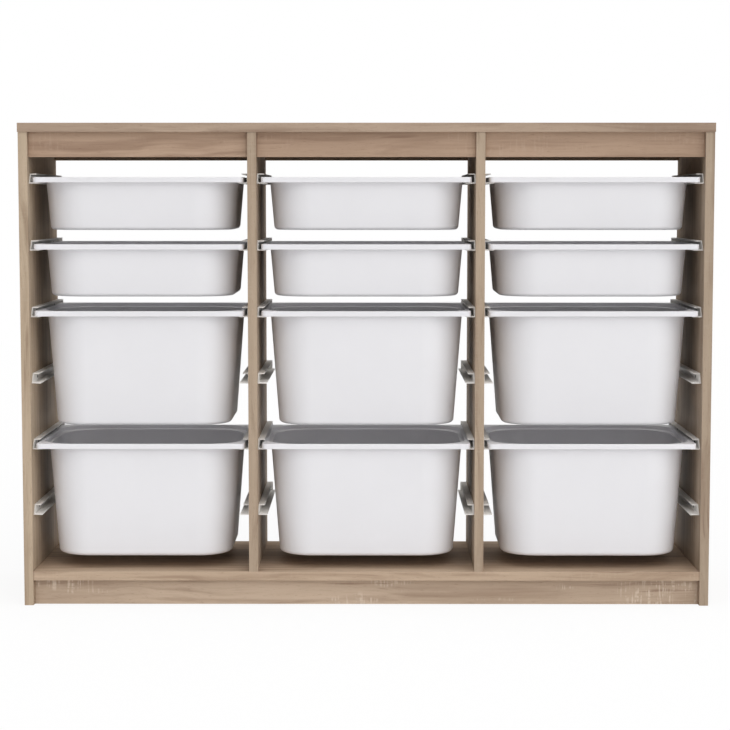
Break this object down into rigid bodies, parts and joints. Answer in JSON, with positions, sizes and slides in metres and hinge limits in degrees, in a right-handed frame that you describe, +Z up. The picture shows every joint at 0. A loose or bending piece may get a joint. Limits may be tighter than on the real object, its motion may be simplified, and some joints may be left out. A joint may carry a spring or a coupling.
{
  "type": "toy storage organizer with bins",
  "caption": "Low three-bay toy storage unit in light oak board, with white plastic bins of two depths that slide out to the front on side rails.",
  "frame": {"origin": "on the floor, at the centre of the footprint", "axes": "+X along the width towards the viewer's right, +Y from the open front to the back, +Z up"},
  "size_m": [1.382, 0.352, 0.968],
  "materials": {
    "oak_board": "light oak melamine with a fine vertical or horizontal grain, satin",
    "bin_plastic": "white moulded polypropylene, satin",
    "rail_plastic": "off-white moulded plastic, satin"
  },
  "bodies": {
    "carcass": {"top_panel": "oak_board", "left_side": "oak_board", "right_side": "oak_board", "left_divider": "oak_board", "right_divider": "oak_board", "base_shelf": "oak_board", "front_plinth": "oak_board", "rear_plinth": "oak_board", "left_bay_apron": "oak_board", "left_bay_rear_stretcher": "oak_board", "centre_bay_apron": "oak_board", "centre_bay_rear_stretcher": "oak_board", "right_bay_apron": "oak_board", "right_bay_rear_stretcher": "oak_board", "left_bay_left_rails_1_2": "rail_plastic", "left_bay_right_rails_1_2": "rail_plastic", "left_bay_left_rails_3_4": "rail_plastic", "left_bay_right_rails_3_4": "rail_plastic", "left_bay_left_rails_5_6": "rail_plastic", "left_bay_right_rails_5_6": "rail_plastic", "centre_bay_left_rails_1_2": "rail_plastic", "centre_bay_right_rails_1_2": "rail_plastic", "centre_bay_left_rails_3_4": "rail_plastic", "centre_bay_right_rails_3_4": "rail_plastic", "centre_bay_left_rails_5_6": "rail_plastic", "centre_bay_right_rails_5_6": "rail_plastic", "right_bay_left_rails_1_2": "rail_plastic", "right_bay_right_rails_1_2": "rail_plastic", "right_bay_left_rails_3_4": "rail_plastic", "right_bay_right_rails_3_4": "rail_plastic", "right_bay_left_rails_5_6": "rail_plastic", "right_bay_right_rails_5_6": "rail_plastic"},
    "left_bay_shallow_bin_1": {"left_bay_shallow_bin_1": "bin_plastic"},
    "left_bay_shallow_bin_2": {"left_bay_shallow_bin_2": "bin_plastic"},
    "left_bay_deep_bin_3": {"left_bay_deep_bin_3": "bin_plastic"},
    "left_bay_deep_bin_5": {"left_bay_deep_bin_5": "bin_plastic"},
    "centre_bay_shallow_bin_1": {"centre_bay_shallow_bin_1": "bin_plastic"},
    "centre_bay_shallow_bin_2": {"centre_bay_shallow_bin_2": "bin_plastic"},
    "centre_bay_deep_bin_3": {"centre_bay_deep_bin_3": "bin_plastic"},
    "centre_bay_deep_bin_5": {"centre_bay_deep_bin_5": "bin_plastic"},
    "right_bay_shallow_bin_1": {"right_bay_shallow_bin_1": "bin_plastic"},
    "right_bay_shallow_bin_2": {"right_bay_shallow_bin_2": "bin_plastic"},
    "right_bay_deep_bin_3": {"right_bay_deep_bin_3": "bin_plastic"},
    "right_bay_deep_bin_5": {"right_bay_deep_bin_5": "bin_plastic"}
  },
  "joints": [
    {"name": "left_bay_shallow_bin_1_slide", "type": "slide", "parent": "carcass", "child": "left_bay_shallow_bin_1", "axis": [0, -1, 0], "range_m": [0, 0.35]},
    {"name": "left_bay_shallow_bin_2_slide", "type": "slide", "parent": "carcass", "child": "left_bay_shallow_bin_2", "axis": [0, -1, 0], "range_m": [0, 0.35]},
    {"name": "left_bay_deep_bin_3_slide", "type": "slide", "parent": "carcass", "child": "left_bay_deep_bin_3", "axis": [0, -1, 0], "range_m": [0, 0.35]},
    {"name": "left_bay_deep_bin_5_slide", "type": "slide", "parent": "carcass", "child": "left_bay_deep_bin_5", "axis": [0, -1, 0], "range_m": [0, 0.35]},
    {"name": "centre_bay_shallow_bin_1_slide", "type": "slide", "parent": "carcass", "child": "centre_bay_shallow_bin_1", "axis": [0, -1, 0], "range_m": [0, 0.35]},
    {"name": "centre_bay_shallow_bin_2_slide", "type": "slide", "parent": "carcass", "child": "centre_bay_shallow_bin_2", "axis": [0, -1, 0], "range_m": [0, 0.35]},
    {"name": "centre_bay_deep_bin_3_slide", "type": "slide", "parent": "carcass", "child": "centre_bay_deep_bin_3", "axis": [0, -1, 0], "range_m": [0, 0.35]},
    {"name": "centre_bay_deep_bin_5_slide", "type": "slide", "parent": "carcass", "child": "centre_bay_deep_bin_5", "axis": [0, -1, 0], "range_m": [0, 0.35]},
    {"name": "right_bay_shallow_bin_1_slide", "type": "slide", "parent": "carcass", "child": "right_bay_shallow_bin_1", "axis": [0, -1, 0], "range_m": [0, 0.35]},
    {"name": "right_bay_shallow_bin_2_slide", "type": "slide", "parent": "carcass", "child": "right_bay_shallow_bin_2", "axis": [0, -1, 0], "range_m": [0, 0.35]},
    {"name": "right_bay_deep_bin_3_slide", "type": "slide", "parent": "carcass", "child": "right_bay_deep_bin_3", "axis": [0, -1, 0], "range_m": [0, 0.35]},
    {"name": "right_bay_deep_bin_5_slide", "type": "slide", "parent": "carcass", "child": "right_bay_deep_bin_5", "axis": [0, -1, 0], "range_m": [0, 0.35]}
  ]
}
